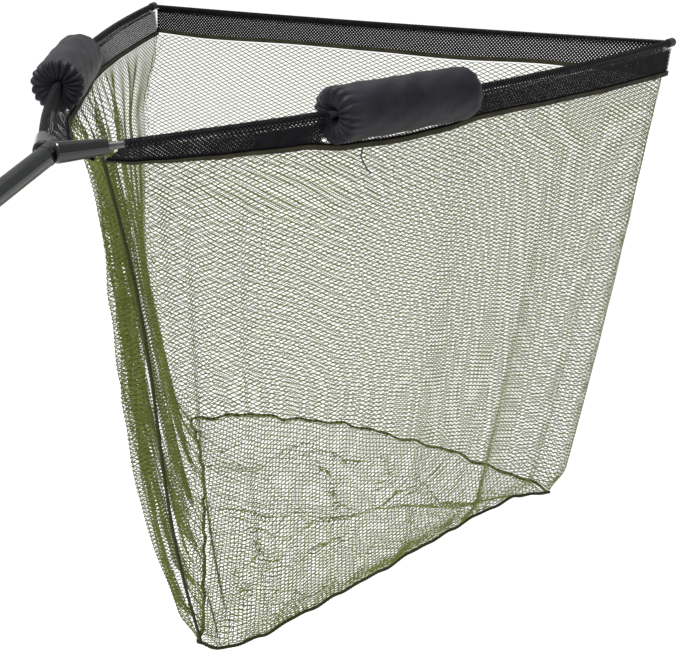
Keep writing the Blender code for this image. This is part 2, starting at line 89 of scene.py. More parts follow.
target = Vector(APEX) + Vector(LOOK_AT)
back = Vector((
    math.sin(VIEW_AZIMUTH) * math.cos(VIEW_ELEVATION),
    -math.cos(VIEW_AZIMUTH) * math.cos(VIEW_ELEVATION),
    math.sin(VIEW_ELEVATION),
))
camera = new_object("camera", bpy.data.cameras.new("camera"))
camera.data.sensor_width = SENSOR_WIDTH
camera.data.lens = LENS
camera.location = target + back * VIEW_DISTANCE
facing = (-back).to_track_quat("-Z", "Y")
facing.rotate(Matrix.Rotation(VIEW_ROLL, 3, back))
camera.rotation_mode = "QUATERNION"
camera.rotation_quaternion = facing
bpy.context.scene.camera = camera
print("camera at", [round(value, 3) for value in camera.location])

# %% [markdown]
# ## The arms' curve
# Each arm is a rod that bows inwards as the front cord pulls its tip, so its
# centre line is very nearly an arc. These functions take whole arrays of
# distances at once, which makes the netting quick to place later.

# %% The arms' curve
ARM_LENGTH = 1.070
ARM_ANGLE = math.radians(36.4)
ARM_TURN = math.radians(22.5)
ARM_OFFSET = 0.011
ARM_RADIUS = 0.0040
ARM_BOW = ARM_LENGTH / ARM_TURN


def vectors(x, y, z):
    """Vectors from arrays or plain numbers."""
    return np.stack(np.broadcast_arrays(x, y, z), axis=-1)


def unit(vector):
    return vector / np.linalg.norm(vector, axis=-1, keepdims=True)


def line_length(points):
    return float(np.linalg.norm(np.diff(points, axis=0), axis=1).sum())


def evenly(points, share, count):
    """The same line of points, at even shares of its length."""
    even = np.linspace(0.0, 1.0, count)
    return np.stack([np.interp(even, share, axis) for axis in points.T], axis=1)


def places_of(bm):
    return np.array([vertex.co for vertex in bm.verts])


def move(bm, places):
    for vertex, place in zip(bm.verts, places):
        vertex.co = place


def arm_point(along, side):
    turned = ARM_ANGLE - ARM_TURN * along / ARM_LENGTH
    x = ARM_BOW * (math.sin(ARM_ANGLE) - np.sin(turned))
    y = ARM_OFFSET + ARM_BOW * (np.cos(turned) - math.cos(ARM_ANGLE))
    return APEX + vectors(x, side * y, 0.0)


def arm_heading(along, side):
    turned = ARM_ANGLE - ARM_TURN * along / ARM_LENGTH
    return vectors(np.cos(turned), side * np.sin(turned), 0.0)


def inward(along, side):
    heading = arm_heading(along, side)
    return vectors(side * heading[..., 1], -side * heading[..., 0], 0.0)


print("the arm's tip is at", arm_point(np.array(ARM_LENGTH), FAR).round(3))

# %% [markdown]
# ## Tables that are read smoothly
# Cloth edges wander. A short table of what they do at a few places, eased from
# row to row, describes that better than a formula does.

# %% Read a table smoothly


def smooth_row(rows, at):
    """The other columns of a table, eased between rows, for an array of places."""
    rows = np.array(rows)
    index = np.clip(np.searchsorted(rows[:, 0], at, side="right") - 1, 0, len(rows) - 2)
    low, high = rows[index], rows[index + 1]
    share = np.clip((at - low[..., 0]) / (high[..., 0] - low[..., 0]), 0.0, 1.0)
    share = share * share * (3.0 - 2.0 * share)
    return low[..., 1:] + (high[..., 1:] - low[..., 1:]) * share[..., None]


HEM_ROWS = (
    # along the arm, inset, drop
    (0.068, 0.052, 0.0295),
    (0.100, 0.040, 0.0325),
    (0.150, 0.030, 0.0345),
    (0.210, 0.024, 0.0370),
    (0.300, 0.016, 0.0395),
    (0.370, 0.012, 0.0480),
    (0.450, 0.011, 0.0510),
    (0.530, 0.011, 0.0490),
    (0.590, 0.011, 0.0430),
    (0.650, 0.011, 0.0430),
    (0.760, 0.010, 0.0450),
    (0.900, 0.008, 0.0480),
    (1.069, 0.004, 0.0500),
)
FRONT_HEM_ROWS = (
    # share of the front, drop
    (0.00, 0.0500),
    (0.12, 0.0460),
    (0.22, 0.0430),
    (0.38, 0.0465),
    (0.52, 0.0440),
    (0.68, 0.0430),
    (0.88, 0.0465),
    (1.00, 0.0430),
)
print("the hem's table has", len(HEM_ROWS), "rows and the front's", len(FRONT_HEM_ROWS))

# %% [markdown]
# ## The two edges the bag hangs between
# At the top the netting is sewn to the hems of three bands, one on each arm and
# one on the front cord. At the bottom it is sewn to a three-cornered panel. A
# place round the bag is counted from the rear seam: 0 to 1 along the near wall,
# 1 to 2 along the front and 2 to 3 back along the far wall.

# %% The top edge
CAP_LENGTH = 0.018
CORD_SAG = 0.003
FRONT_HEM_INSET = 0.004
BAND_START, BAND_END = 0.068, 1.069


def hem_point(along, side):
    inset, drop = np.moveaxis(smooth_row(HEM_ROWS, along), -1, 0)
    return arm_point(along, side) + inward(along, side) * inset[..., None] - vectors(0.0, 0.0, drop)


def cord_point(share):
    start = arm_point(np.array(ARM_LENGTH - CAP_LENGTH / 2), NEAR)
    end = arm_point(np.array(ARM_LENGTH - CAP_LENGTH / 2), FAR)
    sag = CORD_SAG * 4.0 * share * (1.0 - share)
    return start + (end - start) * share[..., None] - vectors(0.0, 0.0, sag)


def front_hem_point(share):
    drop = smooth_row(FRONT_HEM_ROWS, share)[..., 0]
    return cord_point(share) - vectors(FRONT_HEM_INSET, 0.0, drop)


def arm_lines(along, side):
    """The points, the directions and the hem of one arm."""
    return arm_point(along, side), arm_heading(along, side), hem_point(along, side)


def by_wall(place, near, front, far):
    which = place[..., None]
    return np.where(which <= 1.0, near, np.where(which <= 2.0, front, far))


def sharp_top(place):
    reach = BAND_END - BAND_START
    near = hem_point(BAND_START + reach * np.clip(place, 0.0, 1.0), NEAR)
    front = front_hem_point(np.clip(place - 1.0, 0.0, 1.0))
    far = hem_point(BAND_START + reach * np.clip(3.0 - place, 0.0, 1.0), FAR)
    return by_wall(place, near, front, far)


print("the hem's near front corner:", sharp_top(np.array(1.0)).round(3))

# %% The bottom edge
BAG_REAR = APEX + np.array([0.247, 0.0, -0.777])
BAG_FRONT = APEX + np.array([0.849, 0.357, -0.752])
BAG_CORNERS = (BAG_REAR, BAG_FRONT * np.array([1.0, -1.0, 1.0]), BAG_FRONT, BAG_REAR)
NEAR_BOTTOM_ROWS = (
    # share, out, up
    (0.00, 0.000, 0.000),
    (0.05, -0.002, -0.024),
    (0.14, 0.000, -0.032),
    (0.27, 0.000, -0.022),
    (0.44, 0.000, -0.010),
    (0.60, 0.000, 0.006),
    (0.76, 0.000, 0.020),
    (0.87, 0.000, 0.024),
    (1.00, 0.000, 0.000),
)
FRONT_BOTTOM_ROWS = (
    # share, out, up
    (0.00, 0.000, 0.000),
    (0.12, 0.008, 0.014),
    (0.32, 0.024, 0.028),
    (0.55, 0.030, 0.034),
    (0.80, 0.020, 0.024),
    (1.00, 0.000, 0.000),
)
FAR_BOTTOM_ROWS = (
    # share, out, up
    (0.00, 0.000, 0.000),
    (0.20, -0.014, 0.006),
    (0.34, -0.020, 0.004),
    (0.60, -0.016, 0.002),
    (0.90, -0.010, -0.012),
    (1.00, 0.000, 0.000),
)


def strayed(start, end, rows, share):
    """A straight edge that strays outwards and upwards as its table says."""
    out, up = np.moveaxis(smooth_row(rows, share), -1, 0)
    run = unit(end - start)
    moved = vectors(run[1] * out, -run[0] * out, up)
    return start + (end - start) * share[..., None] + moved


def sharp_bottom(place):
    tables = (NEAR_BOTTOM_ROWS, FRONT_BOTTOM_ROWS, FAR_BOTTOM_ROWS)
    sides = [
        strayed(BAG_CORNERS[n], BAG_CORNERS[n + 1], tables[n], np.clip(place - n, 0.0, 1.0))
        for n in range(3)
    ]
    return by_wall(place, *sides)


print("the bottom's corners:", [corner.round(3).tolist() for corner in BAG_CORNERS[:3]])

# %% [markdown]
# ## Rounding the corners
# Cloth never turns a sharp corner. An average over a short reach to each side
# rounds the corners off and leaves the long edges as they are.

# %% Round the corners


def rounded(edge, place, reach, wraps=False):
    total = 0.0
    for offset, weight in ((-1.0, 1.0), (-0.5, 2.0), (0.0, 2.0), (0.5, 2.0), (1.0, 1.0)):
        at = place + offset * reach
        at = at % 3.0 if wraps else np.clip(at, 0.0, 3.0)
        total = total + edge(at) * weight
    return total / 8.0


TOP_ROUNDING = 0.022
BOTTOM_ROUNDING = 0.030


def top_edge(place):
    return rounded(sharp_top, place, np.minimum(TOP_ROUNDING, np.minimum(place, 3.0 - place)))


WANDERS = (
    # waves round the bag, height, phase
    (29, 0.0016, 0.0),
    (46, 0.0012, 1.0),
)


def bottom_edge(place):
    """The bottom seam, which puckers a little all the way round."""
    wander = sum(size * np.sin(2.0 * math.pi * waves * place / 3.0 + phase) for waves, size, phase in WANDERS)
    line = rounded(sharp_bottom, place, BOTTOM_ROUNDING, wraps=True)
    return line + vectors(0.5 * wander, -0.5 * wander, wander)


ring = bottom_edge(np.linspace(0.0, 3.0, 400))
print("the bottom seam is", round(line_length(ring), 3), "m round")

# %% [markdown]
# ## How the walls hang
# Between its two edges the netting bellies, pulls in at the rear corner, and
# falls in long folds where the arms are closer together than the cloth is wide.
# A fold is a smooth bump that runs from the hem to the bottom, with a depth of
# its own at each end.

# %% Tables of the folds
SIDE_FOLDS = (
    # place, half width, depth at the top, depth at the bottom
    (0.035, 0.016, 0.007, 0.008),
    (0.080, 0.016, -0.009, -0.007),
    (0.130, 0.020, 0.008, 0.006),
    (0.200, 0.026, -0.005, 0.005),
    (0.460, 0.060, 0.004, 0.010),
    (0.700, 0.012, 0.000, 0.007),
    (0.780, 0.050, -0.003, -0.010),
    (0.860, 0.009, 0.000, 0.009),
    (0.905, 0.008, 0.000, -0.008),
    (0.950, 0.016, 0.004, 0.008),
    (1.060, 0.009, 0.002, 0.009),
    (1.130, 0.010, 0.000, -0.009),
    (1.220, 0.050, -0.006, -0.012),
    (1.520, 0.070, 0.006, 0.012),
    (1.800, 0.050, -0.006, -0.008),
    (1.950, 0.024, 0.005, 0.004),
    (2.140, 0.018, 0.005, 0.003),
    (2.230, 0.014, -0.006, -0.004),
    (2.320, 0.016, 0.009, 0.006),
    (2.400, 0.016, -0.012, -0.008),
    (2.480, 0.018, 0.013, 0.009),
    (2.560, 0.018, -0.014, -0.008),
    (2.640, 0.018, 0.014, 0.010),
    (2.720, 0.018, -0.013, -0.010),
    (2.790, 0.016, 0.012, 0.012),
    (2.850, 0.014, -0.010, -0.010),
    (2.905, 0.014, 0.009, 0.009),
    (2.955, 0.012, -0.006, -0.007),
)
SIDE_BELLY = (
    # depth, near the rear on the near side, on the far side, elsewhere
    (0.00, 0.000, 0.000, 0.000),
    (0.05, -0.006, -0.020, 0.001),
    (0.10, -0.008, -0.028, 0.002),
    (0.22, -0.004, -0.016, 0.005),
    (0.34, 0.000, -0.002, 0.009),
    (0.50, 0.006, 0.016, 0.012),
    (0.65, 0.008, 0.024, 0.014),
    (0.80, 0.008, 0.025, 0.015),
    (0.93, 0.006, 0.020, 0.015),
    (1.00, 0.000, 0.000, 0.000),
)
CORNER_BELLY = (
    # depth, how far the far front corner stands out
    (0.00, 0.000),
    (0.20, 0.034),
    (0.57, 0.050),
    (0.83, 0.032),
    (1.00, 0.000),
)
CORNER_REACH = 0.30
SEAM_TOP = APEX + np.array([0.090, 0.0, -0.027])
SEAM_WAVE = 0.013
REAR_REACH = 0.40
FOLD_ONSET = 0.10
SEAM_PULL = 0.10  # how far round the bag the rear seam pulls the netting with it
BELLY_ONSET = 0.04
BOTTOM_ONSET = 0.06
GATHERS = 27.0  # small gathers for each wall's width, near the rear seam
GATHER_DEPTH = 0.0062
GATHER_FADE = 0.012  # the gathers are drawn flat this close to the rear seam
GATHERED_NEAR, GATHERED_FAR = 0.14, 0.62  # how far from the rear seam they go on each side
GATHER_END = 0.03  # how gently they end there
GATHER_LEAN, GATHER_BEND = 5.0, 3.0  # how they wander sideways on their way down
print(len(SIDE_FOLDS), "folds round the bag")

# %% Hang the walls


def seam_point(depth):
    """The rear seam, from 0 at the hem to 1 at the bottom."""
    sway = SEAM_WAVE * np.sin(2.0 * math.pi * depth)
    straight = SEAM_TOP + (bottom_edge(np.array(0.0)) - SEAM_TOP) * depth[..., None]
    return straight + vectors(sway, 0.0, 0.0)


def bag_point(place, depth):
    top, bottom = top_edge(place), bottom_edge(place)
    point = top + (bottom - top) * depth[..., None]
    pull = np.exp(-((np.minimum(place, 3.0 - place) / SEAM_PULL) ** 2))[..., None]
    first, last = top_edge(np.array(0.0)), bottom_edge(np.array(0.0))
    shift = seam_point(depth) - (first + (last - first) * depth[..., None])
    corner = smooth_row(CORNER_BELLY, depth)[..., 0] * np.exp(-(((place - 2.0) / CORNER_REACH) ** 2))
    return point + shift * np.array([1.0, 0.0, 1.0]) * pull + vectors(0.0, corner, 0.0)


def folded_point(place, depth):
    """The netting at places round the bag and depths below the hem, as arrays."""
    place, depth = np.broadcast_arrays(place, depth)
    ahead, behind = np.minimum(place + 0.01, 3.0), np.maximum(place - 0.01, 0.0)
    run = bag_point(ahead, depth) - bag_point(behind, depth)
    length = np.linalg.norm(run, axis=-1) / (ahead - behind)
    outward = unit(vectors(run[..., 1], -run[..., 0], 0.0))
    rear_near, rear_far, elsewhere = np.moveaxis(smooth_row(SIDE_BELLY, depth), -1, 0)
    from_seam = np.minimum(place, 3.0 - place)
    weight = np.exp(-((from_seam / REAR_REACH) ** 2))
    rear = np.where(place < 1.5, rear_near, rear_far)
    out = (rear * weight + elsewhere * (1.0 - weight)) * np.minimum(from_seam / BELLY_ONSET, 1.0)
    onset = np.minimum(depth / FOLD_ONSET, 1.0) * np.minimum((1.0 - depth) / BOTTOM_ONSET, 1.0)
    for centre, half_width, top, bottom in SIDE_FOLDS:
        distance = (place - centre) * length / half_width
        out = out + (top + (bottom - top) * depth) * np.exp(-distance * distance) * onset
    gathered_to = np.where(place < 1.5, GATHERED_NEAR, GATHERED_FAR)
    gathered = 1.0 / (1.0 + np.exp((from_seam - gathered_to) / GATHER_END))
    ripple = np.sin(2.0 * math.pi * place * GATHERS + GATHER_LEAN * np.sin(GATHER_BEND * depth))
    loose = 1.0 - np.exp(-((from_seam / GATHER_FADE) ** 2))
    out = out + GATHER_DEPTH * ripple * gathered * loose * onset
    return bag_point(place, depth) + outward * out[..., None]


middle = folded_point(np.array([0.5, 1.5, 2.5]), np.array(0.5))
print("halfway down the three walls:", middle.round(3).tolist())

# %% [markdown]
# ## Cutting netting flat
# Knotless netting comes as cloth, and its holes are diamonds that the weight of
# the bag pulls wide and low. So each wall starts as a maker's flat cut: a grid
# is turned by 45 degrees, stretched to that diamond and trimmed to a tapered
# piece, hole by hole. The holes along the cut are then pulled straight, as a
# seam does. Every face of the grid is one hole of the netting.

# %% Cut a flat piece
NET_HOLE = (0.0145, 0.0066)  # a hole's width and height, from corner to corner
STRAND_WIDTH = 0.00125
STRAND_HEIGHT = 0.0013


def flat_cut(top, bottom, height, hole):
    """A tapered piece of netting, flat, its middle at the origin."""
    wide, high = hole
    count = math.ceil(max(top, bottom) / wide + height / high) + 2
    bm = bmesh.new()
    bmesh.ops.create_grid(bm, x_segments=count, y_segments=count, size=count * math.sqrt(0.125))
    quarter = Matrix.Rotation(math.radians(45.0), 3, "Z")
    bmesh.ops.rotate(bm, verts=bm.verts, cent=(0.0, 0.0, 0.0), matrix=quarter)
    bmesh.ops.scale(bm, verts=bm.verts, vec=(wide, high, 1.0))

    def half_width(y):
        return (top + bottom) / 4.0 + (top - bottom) / 2.0 / height * y

    outside = []
    for face in bm.faces:
        middle = face.calc_center_median()
        if abs(middle.y) > height / 2.0 or abs(middle.x) > half_width(middle.y):
            outside.append(face)
    bmesh.ops.delete(bm, geom=outside, context="FACES")
    for vertex in bm.verts:
        vertex.co.y = min(max(vertex.co.y, -height / 2.0), height / 2.0)
        reach = half_width(vertex.co.y)
        vertex.co.x = min(max(vertex.co.x, -reach), reach)
    return bm


trial = flat_cut(0.10, 0.06, 0.08, NET_HOLE)
print("a small trial cut has", len(trial.faces), "holes")
trial.free()

# %% [markdown]
# ## Hanging a flat cut on its wall
# A chart of the wall is made first: rows of points, spaced evenly by the length
# of the cloth and not by the line below it. A fold then takes up more netting,
# as it does on the real thing, and the holes keep their size all over.

# %% Chart a wall
WALL_DEPTH = 0.74
TOP_CLEAR = 0.0032 / WALL_DEPTH
BOTTOM_CLEAR = 0.0040 / WALL_DEPTH
NEAR_WALL = (0.008, 1.0)
FRONT_WALL = (1.0, 2.0)
FAR_WALL = (2.0, 2.992)
FULLNESS = (
    # place, reach round the bag, how much more netting than width
    (2.80, 0.32, 0.34),
    (0.00, 0.12, 0.30),
)


def fullness(place):
    """Widths of netting for each width of wall: more where it is gathered to the rear."""
    total = 1.0
    for centre, reach, more in FULLNESS:
        total = total + more * np.exp(-(((place - centre) / reach) ** 2))
    return total


def wall_chart(first, last, top=TOP_CLEAR, bottom=1.0 - BOTTOM_CLEAR, rows=61, columns=481):
    """Points of a wall, evenly spaced by its netting along each row, and the rows' lengths."""
    place = np.linspace(first, last, columns)[None, :]
    depth = np.linspace(top, bottom, rows)[:, None]
    points = folded_point(place, depth)
    steps = np.linalg.norm(np.diff(points, axis=1), axis=2) * fullness(place[:, 1:])
    lengths = np.concatenate([np.zeros((rows, 1)), np.cumsum(steps, axis=1)], axis=1)
    for row in range(rows):
        points[row] = evenly(points[row], lengths[row] / lengths[row, -1], columns)
    return points, lengths[:, -1]


def chart_normals(chart):
    """Outward directions of a chart, point by point."""
    down, across = np.gradient(chart, axis=(0, 1))
    return unit(np.cross(across, down))


def look_up(chart, down, across):
    """Points of a chart at shares of its height and its width."""
    rows, columns = chart.shape[0] - 1, chart.shape[1] - 1
    row, column = down * rows, across * columns
    r, c = np.minimum(row.astype(int), rows - 1), np.minimum(column.astype(int), columns - 1)
    v, u = (row - r)[:, None], (column - c)[:, None]
    upper = chart[r, c] * (1.0 - u) + chart[r, c + 1] * u
    lower = chart[r + 1, c] * (1.0 - u) + chart[r + 1, c + 1] * u
    return upper * (1.0 - v) + lower * v


near_lengths = wall_chart(*NEAR_WALL)[1]
print("near wall:", near_lengths[0].round(3), "m along the hem,", near_lengths[-1].round(3), "at the bottom")

# %% [markdown]
# ## From holes to strands
# Blender's wireframe operator turns every edge into a solid strand and joins the
# strands where they cross, which is just what a knotless net does. It works on
# the flat cut, and the finished strands are hung afterwards, so they keep their
# thickness however sharply the net folds. A large wall is split in two along the
# holes of its middle, so that no piece grows too heavy.

# %% Turn a cut into strands


def strands(bm, width, height):
    """Replaces the holes of a flat cut by strands of that width and height."""
    bmesh.ops.wireframe(
        bm,
        faces=bm.faces[:],
        thickness=width,
        offset=0.0,
        use_replace=True,
        use_boundary=True,
        use_even_offset=True,
    )
    bmesh.ops.scale(bm, verts=bm.verts, vec=(1.0, 1.0, height / width))
    return bm


def finish_piece(name, bm, look):
    mesh = bpy.data.meshes.new(name)
    bm.to_mesh(mesh)
    bm.free()
    mesh.shade_smooth()
    mesh.materials.append(look)
    piece = new_object(name, mesh)
    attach(piece, "root")
    mesh.calc_loop_triangles()
    print(name, "has", len(mesh.loop_triangles), "triangles")
    return piece


def hang(bm, chart, widths, height):
    """Moves flat strands onto a chart, keeping their height above it."""
    normals = chart_normals(chart)
    flat = places_of(bm)
    down = np.clip(0.5 - flat[:, 1] / height, 0.0, 1.0)
    width = widths[0] + (widths[1] - widths[0]) * down
    across = np.clip(0.5 + flat[:, 0] / width, 0.0, 1.0)
    places = look_up(chart, down, across) + look_up(normals, down, across) * flat[:, 2:]
    move(bm, places)
    return bm


def keep_faces(bm, keeps):
    """A copy of a flat cut with only the faces whose middle passes the test."""
    made = bm.copy()
    gone = [face for face in made.faces if not keeps(face.calc_center_median())]
    bmesh.ops.delete(made, geom=gone, context="FACES")
    return made


# %% [markdown]
# ## Finishes
# A finish is a node tree. What several finishes share is kept in a node group
# that is built once: one for the mottle of fibres and moulded surfaces, and one
# for woven or twisted threads that run along a piece's own UV map.

# %% Helpers for node trees


def add(tree, kind, settings=None, **values):
    """A node with some of its settings and input values set."""
    made = tree.nodes.new(kind)
    for name, value in (settings or {}).items():
        setattr(made, name, value)
    for name, value in values.items():
        made.inputs[name.replace("_", " ")].default_value = value
    return made


def group_with(name, inputs, outputs):
    """An empty node group with named float or vector inputs and float outputs."""
    tree = bpy.data.node_groups.new(name, "ShaderNodeTree")
    for label, kind, value in inputs:
        socket = tree.interface.new_socket(label, in_out="INPUT", socket_type=kind)
        if value is not None:
            socket.default_value = value
    for label in outputs:
        tree.interface.new_socket(label, in_out="OUTPUT", socket_type="NodeSocketFloat")
    return tree, tree.nodes.new("NodeGroupInput"), tree.nodes.new("NodeGroupOutput")


def maths(tree, operation, *sources):
    """What a maths node gives for sockets or plain numbers."""
    made = add(tree, "ShaderNodeMath", {"operation": operation})
    for slot, source in zip(made.inputs, sources):
        if isinstance(source, float):
            slot.default_value = source
        else:
            tree.links.new(source, slot)
    return made.outputs[0]


def finish(name, colour, roughness, specular=0.5, metallic=0.0):
    """A new material with its own shader, and the shader."""
    made = bpy.data.materials.new(name)
    made.use_nodes = True
    shader = made.node_tree.nodes["Principled BSDF"]
    shader.inputs["Base Color"].default_value = (*colour, 1.0)
    shader.inputs["Roughness"].default_value = roughness
    shader.inputs["Specular IOR Level"].default_value = specular
    shader.inputs["Metallic"].default_value = metallic
    print("finish:", name)
    return made, shader


print("node helpers ready")

# %% The mottle group
GRAIN_FINENESS = 14.0  # grains for each patch
mottle, mottle_in, mottle_out = group_with(
    "mottle",
    (("Vector", "NodeSocketVector", None), ("Size", "NodeSocketFloat", 100.0)),
    ("Patch", "Grain"),
)
patches = add(mottle, "ShaderNodeTexNoise", Detail=3.0)
grains = add(mottle, "ShaderNodeTexNoise", Detail=2.0)
finer = maths(mottle, "MULTIPLY", mottle_in.outputs["Size"], GRAIN_FINENESS)
mottle.links.new(mottle_in.outputs["Vector"], patches.inputs["Vector"])
mottle.links.new(mottle_in.outputs["Size"], patches.inputs["Scale"])
mottle.links.new(mottle_in.outputs["Vector"], grains.inputs["Vector"])
mottle.links.new(finer, grains.inputs["Scale"])
mottle.links.new(patches.outputs["Fac"], mottle_out.inputs["Patch"])
mottle.links.new(grains.outputs["Fac"], mottle_out.inputs["Grain"])
print("mottle group:", len(mottle.nodes), "nodes")

# %% The thread group
threads, threads_in, threads_out = group_with(
    "threads",
    (
        ("Vector", "NodeSocketVector", None),
        ("Along", "NodeSocketFloat", 100.0),
        ("Across", "NodeSocketFloat", 100.0),
    ),
    ("Ridge", "Checker"),
)
split = add(threads, "ShaderNodeSeparateXYZ")
threads.links.new(threads_in.outputs["Vector"], split.inputs[0])
turns = []
for axis, label in (("X", "Along"), ("Y", "Across")):
    scaled = maths(threads, "MULTIPLY", split.outputs[axis], threads_in.outputs[label])
    turns.append(maths(threads, "MULTIPLY", scaled, 2.0 * math.pi))
twist = maths(threads, "SINE", maths(threads, "ADD", *turns))
crossed = maths(threads, "MULTIPLY", *[maths(threads, "SINE", turn) for turn in turns])
threads.links.new(twist, threads_out.inputs["Ridge"])
threads.links.new(crossed, threads_out.inputs["Checker"])
print("thread group:", len(threads.nodes), "nodes")

# %% [markdown]
# Two small builders put those groups to work. One shades a colour between a dark
# and a light of itself, the other turns a height into relief.

# %% Shade and relief


def use_group(shader, group, source, **values):
    """The outputs of a node group laid over one kind of coordinates."""
    tree = shader.id_data
    made = tree.nodes.new("ShaderNodeGroup")
    made.node_tree = group
    coordinates = tree.nodes.new("ShaderNodeTexCoord")
    tree.links.new(coordinates.outputs[source], made.inputs["Vector"])
    for name, value in values.items():
        made.inputs[name].default_value = value
    return made.outputs


def shade(shader, value, dark, light, low=0.3, high=0.7):
    """Colours the shader from dark to light as a value goes from low to high."""
    tree = shader.id_data
    ramp = tree.nodes.new("ShaderNodeValToRGB")
    for element, position, colour in zip(ramp.color_ramp.elements, (low, high), (dark, light)):
        element.position = position
        element.color = (*colour, 1.0)
    tree.links.new(value, ramp.inputs["Fac"])
    tree.links.new(ramp.outputs["Color"], shader.inputs["Base Color"])


def relief(shader, height, strength, distance, before=None):
    tree = shader.id_data
    bump = add(tree, "ShaderNodeBump", Strength=strength, Distance=distance)
    tree.links.new(height, bump.inputs["Height"])
    if before:
        tree.links.new(before.outputs["Normal"], bump.inputs["Normal"])
    tree.links.new(bump.outputs["Normal"], shader.inputs["Normal"])
    return bump


def vary_roughness(shader, value, low, high):
    tree = shader.id_data
    spread = add(tree, "ShaderNodeMapRange")
    spread.inputs["To Min"].default_value = low
    spread.inputs["To Max"].default_value = high
    tree.links.new(value, spread.inputs["Value"])
    tree.links.new(spread.outputs["Result"], shader.inputs["Roughness"])


print("shade, relief and roughness builders ready")

# %% [markdown]
# ### Olive netting
# The strands are soft multifilament: a yellowish olive, mottled a little where
# the dye took unevenly, with fibres too fine to see except as a roughness.

# %% Olive netting
olive_netting, shader = finish("olive_netting", (0.17, 0.20, 0.07), 0.6, 0.15)
fibres = use_group(shader, mottle, "Object", Size=60.0)
shade(shader, fibres["Patch"], (0.114, 0.145, 0.023), (0.178, 0.210, 0.044))
relief(shader, fibres["Grain"], 0.3, 0.0004)

# %% [markdown]
# ### Black mesh, tape and binding
# The bands are a stiffer black mesh. Their lower edges are bound with a narrow
# ribbed tape, and the bag's seams are wrapped in overlocked thread.

# %% Black mesh
black_mesh, shader = finish("black_mesh", (0.014, 0.014, 0.018), 0.65, 0.07)
fibres = use_group(shader, mottle, "Object", Size=80.0)
shade(shader, fibres["Patch"], (0.004, 0.004, 0.0052), (0.010, 0.0096, 0.0122))
relief(shader, fibres["Grain"], 0.3, 0.0004)

# %% Hem tape
hem_tape, shader = finish("hem_tape", (0.035, 0.033, 0.018), 0.8, 0.15)
ribs = use_group(shader, threads, "UV", Along=700.0, Across=420.0)
blotches = use_group(shader, mottle, "Object", Size=45.0)
shade(shader, blotches["Patch"], (0.022, 0.021, 0.011), (0.050, 0.046, 0.026))
relief(shader, ribs["Checker"], 0.6, 0.0003)

# %% Overlocked binding
binding, shader = finish("binding", (0.030, 0.034, 0.014), 0.8, 0.15)
wrap_relief_and_shade = use_group(shader, threads, "UV", Along=420.0, Across=1.0)
blotches = use_group(shader, mottle, "Object", Size=40.0)
# The wrap's ridges also colour the thread: crests painted lighter and grooves painted darker, as painted
# shade between the wraps.
shade(shader, wrap_relief_and_shade["Ridge"], (0.020, 0.023, 0.008), (0.085, 0.096, 0.038), 0.2, 0.9)
relief(shader, wrap_relief_and_shade["Ridge"], 0.8, 0.0006)
vary_roughness(shader, blotches["Patch"], 0.7, 0.95)

# %% [markdown]
# ### Charcoal nylon
# The floats wear a tight cover of woven nylon. Its sheen runs along the top of
# each float, broken by small wrinkles, with painted shade in their troughs.

# %% Charcoal nylon
charcoal_nylon, shader = finish("charcoal_nylon", (0.030, 0.029, 0.036), 0.45, 0.14)
weave = use_group(shader, threads, "UV", Along=1200.0, Across=1200.0)
crease_relief_and_shade = use_group(shader, mottle, "Object", Size=26.0)
# The crease pattern also colours the cover: its troughs are painted darker and its crests lighter, as painted
# shade in the wrinkles.
shade(shader, crease_relief_and_shade["Patch"], (0.009, 0.0086, 0.012), (0.022, 0.021, 0.028))
broad = relief(shader, crease_relief_and_shade["Patch"], 0.35, 0.006)
relief(shader, weave["Checker"], 0.25, 0.0002, broad)
vary_roughness(shader, crease_relief_and_shade["Grain"], 0.34, 0.50)
shader.inputs["Sheen Weight"].default_value = 0.03
shader.inputs["Sheen Roughness"].default_value = 0.4

# %% [markdown]
# ### Block, pole, arms and caps
# The block is black moulded plastic and the pole a glossy tube, both with the
# faint scuffs of use. The arms are smooth grey rods, faintly mottled, and the
# caps are matt.

# %% Hard finishes


def hard_finish(name, dark, light, roughness, size, metallic, coat):
    made, shader = finish(name, dark, roughness[0], metallic=metallic)
    scuffs = use_group(shader, mottle, "Object", Size=size)
    shade(shader, scuffs["Patch"], dark, light)
    vary_roughness(shader, scuffs["Patch"], *roughness)
    relief(shader, scuffs["Grain"], 0.08, 0.0002)
    shader.inputs["Coat Weight"].default_value = coat
    shader.inputs["Coat Roughness"].default_value = 0.12
    return made


HARD_FINISHES = (
    # nodes, name, dark, light, roughness, size, metallic, coat
    (
        ("spreader_block",),
        ("block_plastic", (0.003, 0.003, 0.003), (0.007, 0.007, 0.008), (0.16, 0.26), 70.0, 0.0, 0.5),
    ),
    (
        ("handle_stub",),
        ("pole_gloss", (0.006, 0.007, 0.0075), (0.012, 0.014, 0.015), (0.10, 0.20), 40.0, 0.0, 0.6),
    ),
    (
        ("arm_near", "arm_far"),
        ("arm_grey", (0.10, 0.10, 0.105), (0.15, 0.15, 0.155), (0.28, 0.42), 90.0, 0.7, 0.0),
    ),
    (
        ("tip_cap_near", "tip_cap_far"),
        ("cap_matt", (0.012, 0.012, 0.014), (0.022, 0.022, 0.024), (0.55, 0.75), 80.0, 0.0, 0.0),
    ),
    (
        ("front_cord",),
        ("cord_black", (0.010, 0.010, 0.012), (0.026, 0.026, 0.030), (0.7, 0.9), 160.0, 0.0, 0.0),
    ),
)
for nodes, values in HARD_FINISHES:
    look = hard_finish(*values)
    for node in nodes:
        for slot in NODES[node].material_slots:
            slot.material = look
cord_black = look  # the last of them, which the tie wears too

# %% [markdown]
# ## The float's tie
# A thin cord closes the near float's cover, and its free end hangs below. It is
# the only loose cord, so it is made first among the soft pieces: one smooth
# curve through a few points that fall under their own weight.

